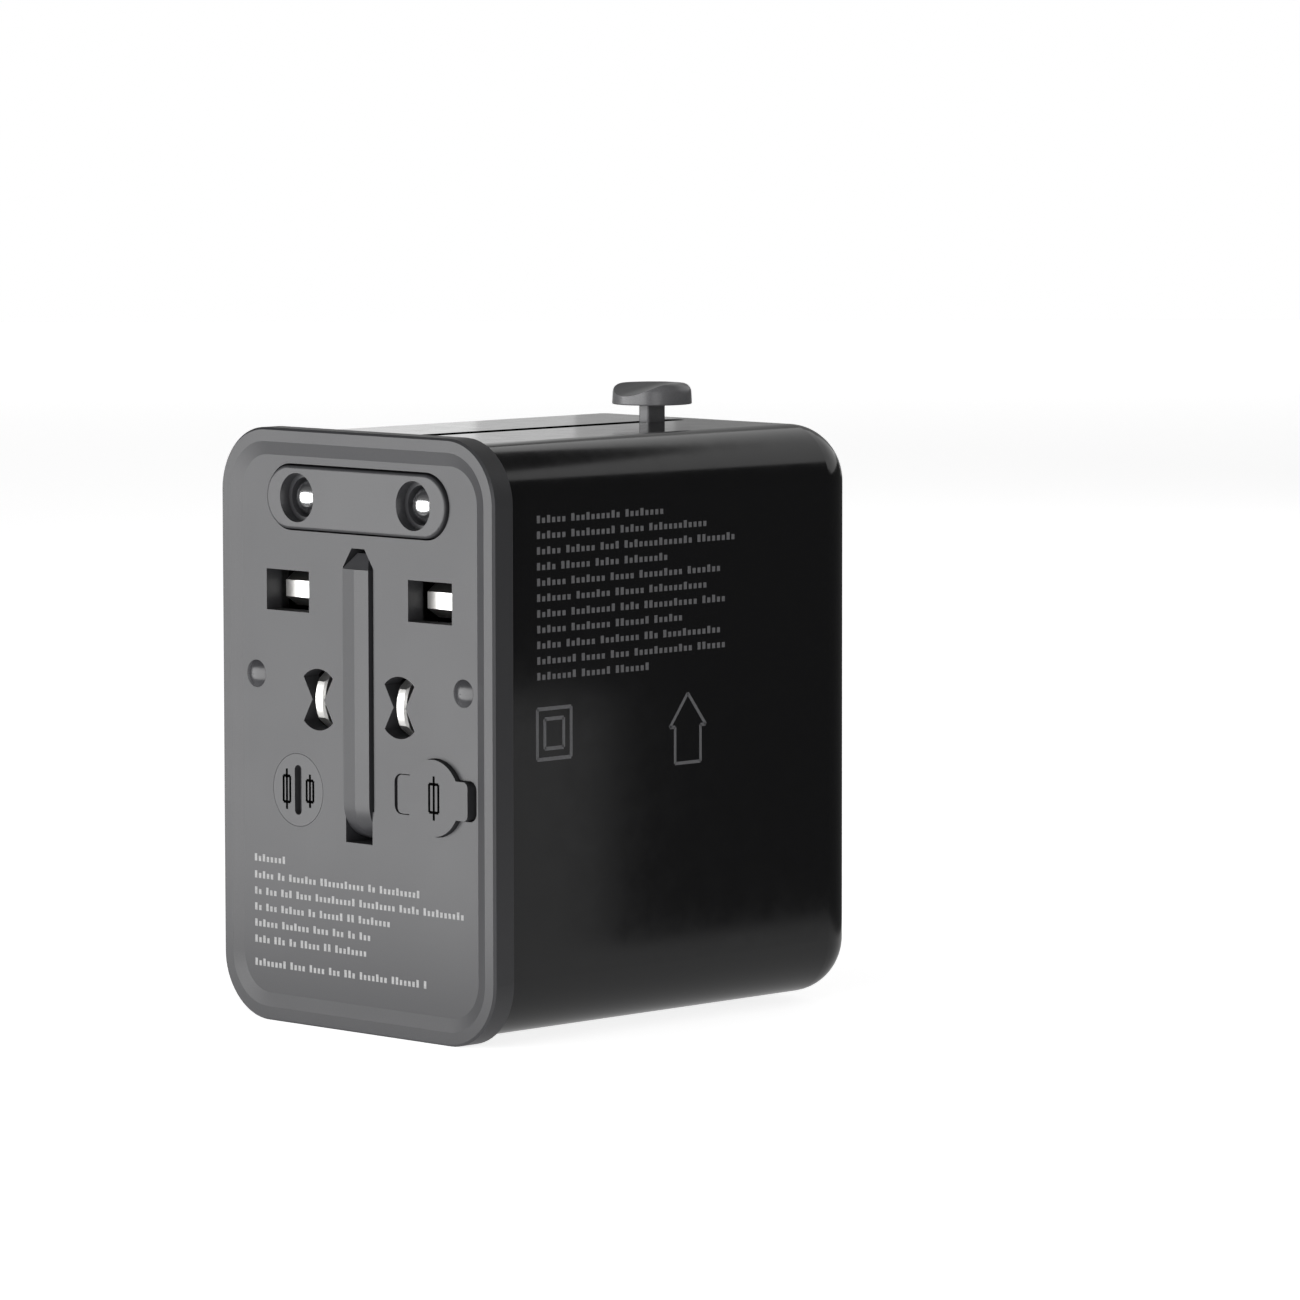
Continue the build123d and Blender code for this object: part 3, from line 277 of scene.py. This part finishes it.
class ADAPTER_OT_finishes(bpy.types.Operator):
    """Give every moulded, plated and electronic part its finish"""
    bl_idname = "adapter.finishes"
    bl_label = "Finishes"

    def execute(self, context):
        look = context.scene.adapter_finish
        dress(["front_cover", "earth_pin", "fuse_door"],
              satin_abs("Satin_ABS", look.cover_colour, look.grain, 0.42))
        dress(["eu_sleeve", "spare_fuse_cap"],
              satin_abs("Satin_ABS_sleeve", look.cover_colour, look.grain, 0.38))
        dress(["screw_caps"], satin_abs("Screw_cap_ABS", look.cover_colour, look.grain, 0.24))
        dress(["main_shell"], gloss_abs("Gloss_ABS", look.shell_colour))
        # knobs: their light grey base colour is painted light, standing in for the light on the dark
        # plastic
        dress(["eu_knob", "uk_knob", "us_knob"],
              satin_abs("Knob_ABS_painted_light", look.knob_painted_light_colour, look.grain, 0.3))
        dress(["eu_carriage", "uk_carriage", "us_carriage", "left_blade_holder", "right_blade_holder",
               "fuse_holder", "chassis", "socket_frame", "usb_a_tongues", "usb_c_tongues"],
              satin_abs("Nylon_inner", "#141415", look.grain, 0.5))
        dress(["eu_pin_sheaths", "uk_pin_sheaths"],
              satin_abs("Pin_sheath_nylon", "#161616", look.grain, 0.45))
        dress(["eu_pins"], plated("Chrome_plate", "#F0F0F2", 0.2))
        dress(["uk_pins", "left_blade", "right_blade"], plated("Nickel_plate", "#F2F1EE", 0.3))
        dress(["eu_knob_spring", "uk_knob_spring", "us_knob_spring", "fuse_springs", "cover_screws",
               "earth_hinge_pin", "usb_a_ports", "usb_c_ports"],
              plated("Bright_steel", "#B9B9BB", 0.25))
        dress(["line_contact", "neutral_contact"], plated("Spring_brass", "#D8B465", 0.22))
        dress(["live_fuse_body", "spare_fuse_body"], plain_grain("Fuse_ceramic", "#E9E4D8", 0.35))
        dress(["live_fuse_caps", "spare_fuse_caps"], plated("Fuse_nickel", "#CFCBC2", 0.2))
        dress(["power_board", "usb_board"], solder_mask("Solder_mask", "#14532B"))
        dress(["transformer"], plain_grain("Winding_tape", "#C8A42A", 0.5, size=0.8 * MM))
        dress(["capacitor"], plain_grain("Capacitor_sleeve", "#20242C", 0.35))
        return {"FINISHED"}


# ------------------------------------------------------------------ printing
def facing_front(y):
    """Where a print on the plug side goes: across along +X, up along +Z."""
    return Matrix.Translation((0, y, 0)) @ Matrix.Rotation(math.radians(90), 4, "X")


def facing_right(x):
    """Where a print on the right side goes: across along +Y, up along +Z."""
    turn = Matrix.Rotation(math.radians(90), 4, "Z") @ Matrix.Rotation(math.radians(90), 4, "X")
    return Matrix.Translation((x, 0, 0)) @ turn


def stroke(mesh, place, start, end, width, film):
    """Add one straight stroke of ink, given in mm on its surface."""
    start = Vector(start) * MM
    end = Vector(end) * MM
    run = end - start
    made = bmesh.ops.create_cube(mesh, size=1.0)
    bmesh.ops.scale(mesh, vec=(run.length, width * MM, 2 * film), verts=made["verts"])
    turn = Matrix.Rotation(math.atan2(run.y, run.x), 4, "Z")
    middle = Matrix.Translation((*(start + run / 2), 0))
    bmesh.ops.transform(mesh, matrix=place @ middle @ turn, verts=made["verts"])


def outline(mesh, place, corners, width, film):
    """Add a closed run of strokes."""
    for start, end in zip(corners, corners[1:] + corners[:1]):
        stroke(mesh, place, start, end, width, film)


# one block of a printed row, in mm: a capital or tall letter, a small letter, and their foot
TALL_LETTER = 0.80
SMALL_LETTER = 0.56
LETTER_FOOT = 0.38
# the same block as shares of the letter pitch: its middle, its width and the gap after a word
LETTER_MIDDLE = 0.32
LETTER_WIDTH = 0.6
WORD_GAP = 0.8


def text_row(mesh, place, across, up, words, pitch, film):
    """Add a row of plain blocks, one for each letter of a printed line."""
    count = 0
    foot = up - LETTER_FOOT
    for letters in words:
        for letter in range(letters):
            tall = TALL_LETTER if letter == 0 or (count * 7 + letter) % 5 == 1 else SMALL_LETTER
            middle = across + LETTER_MIDDLE * pitch
            stroke(mesh, place, (middle, foot), (middle, foot + tall), LETTER_WIDTH * pitch, film)
            across += pitch
            count += 1
        across += WORD_GAP * pitch


# the sign for a fuse: line width in mm, and half the box's height as a share of the sign's
FUSE_LINE = 0.3
FUSE_BOX = 0.32


def fuse_symbol(mesh, place, across, up, wide, tall, film):
    """Add a box with a line through it, the sign for a fuse."""
    half = wide / 2
    box = tall * FUSE_BOX
    outline(mesh, place, [
        (across - half, up - box), (across + half, up - box), (across + half, up + box),
        (across - half, up + box)], FUSE_LINE, film)
    stroke(mesh, place, (across, up - tall / 2), (across, up + tall / 2), FUSE_LINE, film)


# printed places in mm: across from the middle of the surface, up from the shell's underside
FACE_DEPTH = 0.45
FACE_LEFT = -16.65
# each row: height, then the letters in each word
FACE_ROWS = (
    (16.80, (8,)),
    (14.94, (5, 2, 7, 11, 2, 10)),
    (13.18, (2, 3, 3, 4, 10, 9, 5, 10)),
    (11.43, (2, 3, 6, 2, 6, 2, 8)),
    (9.67, (6, 7, 4, 3, 2, 3)),
    (7.91, (4, 3, 2, 5, 2, 8)),
    (5.38, (8, 4, 4, 3, 3, 7, 7, 1)),
)
# each fuse sign: across, up, width and height
SPARE_SIGNS = ((-11.42, 24.66, 1.05, 4.4), (-7.75, 24.66, 1.05, 3.6))
DOOR_SIGN = (12.2, 25.5, 1.4, 4.7)
SIDE_LEFT = -21.6
SIDE_TOP = 55.05
SIDE_STEP = 1.66
SIDE_PITCH = 0.75
SIDE_ROWS = (
    (6, 10, 8), (6, 9, 5, 12), (5, 6, 4, 14, 8), (4, 6, 5, 9), (6, 7, 5, 9, 7), (7, 7, 6, 12),
    (6, 9, 4, 11, 5), (6, 8, 7, 6), (5, 6, 8, 3, 12), (8, 5, 4, 12, 6), (8, 6, 7))
# double square: its right edge, foot and top, the inset of the inner one, and the line
SQUARE_RIGHT = -16.6
SQUARE_FOOT = 29.65
SQUARE_TOP = 35.0
SQUARE_INSETS = (0.0, 1.1)
SQUARE_LINE = 0.4
# house: walls and a pointed roof with eaves
HOUSE = (
    (-0.9, 27.65), (3.0, 27.65), (3.0, 31.6), (3.8, 31.6), (1.05, 35.15), (-1.7, 31.6), (-0.9, 31.6))
HOUSE_LINE = 0.35


class ADAPTER_OT_print(bpy.types.Operator):
    """Print the plain rows and signs on the plug face, the fuse seats and the side"""
    bl_idname = "adapter.print"
    bl_label = "Printing"

    def execute(self, context):
        ink = context.scene.adapter_print
        look = context.scene.adapter_finish
        place = facing_front(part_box("front_cover")[0][1] + FACE_DEPTH * MM)
        mesh = bmesh.new()
        for height, words in FACE_ROWS:
            text_row(mesh, place, FACE_LEFT, height, words, ink.letter / MM, ink.film)
        finish_piece(mesh, "face_print", "housing", pad_ink("Face_ink", look.face_ink))

        # signs sunk into the two fuse seats, filled dark
        dark = pad_ink("Dark_ink", "#060606", 0.0)
        mesh = bmesh.new()
        for sign in SPARE_SIGNS:
            fuse_symbol(mesh, place, *sign, ink.film)
        finish_piece(mesh, "spare_fuse_signs", "spare_fuse_cap", dark)
        mesh = bmesh.new()
        door = facing_front(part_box("fuse_door")[0][1])
        fuse_symbol(mesh, door, *DOOR_SIGN, ink.film)
        finish_piece(mesh, "fuse_door_sign", "fuse_door", dark)

        side = facing_right(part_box("main_shell")[1][0])
        mesh = bmesh.new()
        for row, words in enumerate(SIDE_ROWS):
            text_row(mesh, side, SIDE_LEFT, SIDE_TOP - SIDE_STEP * row, words, SIDE_PITCH, ink.film)
        for inset in SQUARE_INSETS:
            left = SIDE_LEFT + inset
            right = SQUARE_RIGHT - inset
            foot = SQUARE_FOOT + inset
            top = SQUARE_TOP - inset
            corners = [(left, foot), (right, foot), (right, top), (left, top)]
            outline(mesh, side, corners, SQUARE_LINE, ink.film)
        outline(mesh, side, HOUSE, HOUSE_LINE, ink.film)
        finish_piece(mesh, "side_print", "housing", pad_ink("Side_ink", look.side_ink))
        return {"FINISHED"}


# ------------------------------------------------------------------ stage
def emitter(name, code, strength):
    """A plain glowing card."""
    material, tree = new_material(name)
    glow = add_node(tree, "ShaderNodeEmission", {"Color": linear(code), "Strength": strength})
    add_node(tree, "ShaderNodeOutputMaterial", {}, {"Surface": glow.outputs["Emission"]})
    return material


def soft_box(name, place, aim, wide, tall, radiance):
    """An area light that faces a point; its power follows from its brightness and size."""
    data = bpy.data.lights.new(name, "AREA")
    data.shape = "RECTANGLE"
    data.size = wide
    data.size_y = tall
    data.energy = radiance * math.pi * wide * tall
    light = bpy.data.objects.new(name, data)
    light.location = place
    light.visible_camera = False
    light.rotation_mode = "QUATERNION"
    light.rotation_quaternion = (Vector(aim) - Vector(place)).to_track_quat("-Z", "Y")
    bpy.context.scene.collection.objects.link(light)
    return light


def plane_piece(name, corners, material):
    """A flat four-cornered stage card."""
    mesh = bmesh.new()
    mesh.faces.new([mesh.verts.new(c) for c in corners])
    data = bpy.data.meshes.new(name)
    mesh.to_mesh(data)
    mesh.free()
    card = bpy.data.objects.new(name, data)
    data.materials.append(material)
    bpy.context.scene.collection.objects.link(card)
    return card


# camera target in mm, and how far the aim is moved right and up across the view
AIM = (0, -1.2, 31.15)
AIM_RIGHT = 12.0934
AIM_UP = 7.4213
FLOOR_REACH = 6.0
CENTRE = (0, 0, 31 * MM)
# each light: name, place, aim, width, height (all in metres) and brightness
LIGHTS = (
    ("key", (-0.30, -0.62, -0.02), (-0.30, 0, -0.02), 1.25, 0.6, 4.7),
    ("right", (0.62, -0.38, 0.12), CENTRE, 0.3, 0.3, 1.9),
    ("top", (0.05, -0.1, 0.7), CENTRE, 0.5, 0.5, 0.3),
    ("back", (0.0, 0.55, 0.33), CENTRE, 0.8, 0.40, 0.8),
    ("side", (0.154, 0.080, -0.03), (0.020, -0.030, -0.03), 0.06, 0.1, 0.4),
)
# white card: distance behind the adapter, half width and top, in metres
BACKDROP_AWAY = 1.6
BACKDROP_HALF = 0.75
BACKDROP_TOP = 0.42
# grey flags: distance behind, foot and height in metres; each from, to (rightwards) and brightness
FLAG_AWAY = 0.3
FLAG_FOOT = 0.05
FLAG_HEIGHT = 0.17
FLAGS = ((-0.015, 0.0, 0.7), (0.0, 0.015, 0.48), (0.015, 0.15, 0.3))
# light card just over the floor: its corners in metres, its lift and its brightness
BOUNCE_CORNERS = ((-0.07, -0.07), (0.07, -0.07), (0.07, 0.08), (-0.07, 0.08))
BOUNCE_LIFT = 0.1 * MM
BOUNCE_GLOW = 0.5


def upright_card(name, left_foot, right_foot, height, material):
    """A stage card that stands upright on two points."""
    lift = Vector((0, 0, height))
    return plane_piece(name, [left_foot, right_foot, right_foot + lift, left_foot + lift], material)


def pale_floor(floor_z):
    """A pale floor, bright enough on its own to stay near white."""
    material, tree = new_material("Pale_floor")
    surface(tree, {
        "Base Color": linear("#E8E8E8"), "Roughness": 0.9, "Emission Color": linear("#FFFFFF"),
        "Emission Strength": 0.8})
    corners = ((-1, -1), (1, -1), (1, 1), (-1, 1))
    floor = plane_piece(
        "floor", [(FLOOR_REACH * x, FLOOR_REACH * y, floor_z) for x, y in corners], material)
    floor.visible_glossy = False
    floor.visible_shadow = False


def camera_axes(view):
    """The level camera's ahead, right and up directions."""
    ahead = Vector((
        -math.sin(view.azimuth) * math.cos(view.elevation),
        math.cos(view.azimuth) * math.cos(view.elevation),
        -math.sin(view.elevation)))
    right = Vector((math.cos(view.azimuth), math.sin(view.azimuth), 0))
    return ahead, right, right.cross(ahead)


def add_camera(view, ahead, right, up):
    """A long lens aimed beside and above the adapter, so that the adapter sits low and to the left."""
    data = bpy.data.cameras.new("camera")
    data.lens = view.lens
    data.sensor_width = 36.0
    data.clip_start = 0.01
    data.clip_end = 50
    camera = bpy.data.objects.new("camera", data)
    rolled_right = right * math.cos(view.roll) + up * math.sin(view.roll)
    rolled_up = -right * math.sin(view.roll) + up * math.cos(view.roll)
    camera.rotation_mode = "QUATERNION"
    camera.rotation_quaternion = Matrix((rolled_right, rolled_up, -ahead)).transposed().to_quaternion()
    target = Vector(AIM) * MM + right * AIM_RIGHT * MM + up * AIM_UP * MM
    camera.location = target - ahead * view.distance
    bpy.context.scene.collection.objects.link(camera)
    bpy.context.scene.camera = camera


def faint_world():
    """An even white fill from all round."""
    world = bpy.data.worlds.new("Studio")
    bpy.context.scene.world = world
    world.use_nodes = True
    background = world.node_tree.nodes["Background"]
    background.inputs["Color"].default_value = linear("#FFFFFF")
    background.inputs["Strength"].default_value = 0.07


class ADAPTER_OT_stage(bpy.types.Operator):
    """Set up the floor, the lights and the camera"""
    bl_idname = "adapter.stage"
    bl_label = "Stage"

    def execute(self, context):
        floor_z = cad_box[0][2]
        pale_floor(floor_z)
        view = context.scene.adapter_stage
        ahead, right, up = camera_axes(view)
        add_camera(view, ahead, right, up)

        # white card behind the adapter, square to the camera
        away = Vector((ahead.x, ahead.y, 0)).normalized()
        middle = away * BACKDROP_AWAY + Vector((0, 0, floor_z))
        half = right * BACKDROP_HALF
        upright_card("backdrop", middle - half, middle + half, BACKDROP_TOP - floor_z,
                     emitter("White_card", "#FFFFFF", 1.0))

        faint_world()
        for name, place, aim, wide, tall, radiance in LIGHTS:
            soft_box(name, place, aim, wide, tall, radiance)

        # grey flags behind, seen only in the gloss of the shell's top round the knob
        middle = away * FLAG_AWAY + Vector((0, 0, FLAG_FOOT))
        unseen = []
        for start, end, glow in FLAGS:
            unseen.append(upright_card(
                "grey_flag", middle + right * start, middle + right * end, FLAG_HEIGHT,
                emitter("Grey_flag", "#FFFFFF", glow)))

        # light card on the floor, seen only in the gloss of the lower edges
        unseen.append(plane_piece(
            "bounce_card", [(x, y, floor_z + BOUNCE_LIFT) for x, y in BOUNCE_CORNERS],
            emitter("Bounce_card", "#FFFFFF", BOUNCE_GLOW)))
        for card in unseen:
            card.visible_camera = False
            card.visible_diffuse = False
            card.visible_shadow = False

        context.scene.view_settings.view_transform = "Standard"
        return {"FINISHED"}


class ADAPTER_PT_panel(bpy.types.Panel):
    """Buttons and settings for the adapter"""
    bl_idname = "ADAPTER_PT_panel"
    bl_label = "Travel adapter"
    bl_space_type = "VIEW_3D"
    bl_region_type = "UI"
    bl_category = "Adapter"

    def draw(self, context):
        for name in ("adapter.finishes", "adapter.print", "adapter.stage"):
            self.layout.operator(name)
        scene = context.scene
        for group in (scene.adapter_finish, scene.adapter_print, scene.adapter_stage):
            for key in group.__annotations__:
                self.layout.prop(group, key)


CLASSES = (
    AdapterFinish, AdapterPrint, AdapterStage, ADAPTER_OT_finishes, ADAPTER_OT_print, ADAPTER_OT_stage,
    ADAPTER_PT_panel)


def register():
    for item in CLASSES:
        bpy.utils.register_class(item)
    bpy.types.Scene.adapter_finish = bpy.props.PointerProperty(type=AdapterFinish)
    bpy.types.Scene.adapter_print = bpy.props.PointerProperty(type=AdapterPrint)
    bpy.types.Scene.adapter_stage = bpy.props.PointerProperty(type=AdapterStage)


def unregister():
    del bpy.types.Scene.adapter_stage
    del bpy.types.Scene.adapter_print
    del bpy.types.Scene.adapter_finish
    for item in reversed(CLASSES):
        bpy.utils.unregister_class(item)


def main():
    register()
    bpy.ops.adapter.finishes()
    bpy.ops.adapter.print()
    bpy.ops.adapter.stage()


if __name__ == "__main__":
    main()
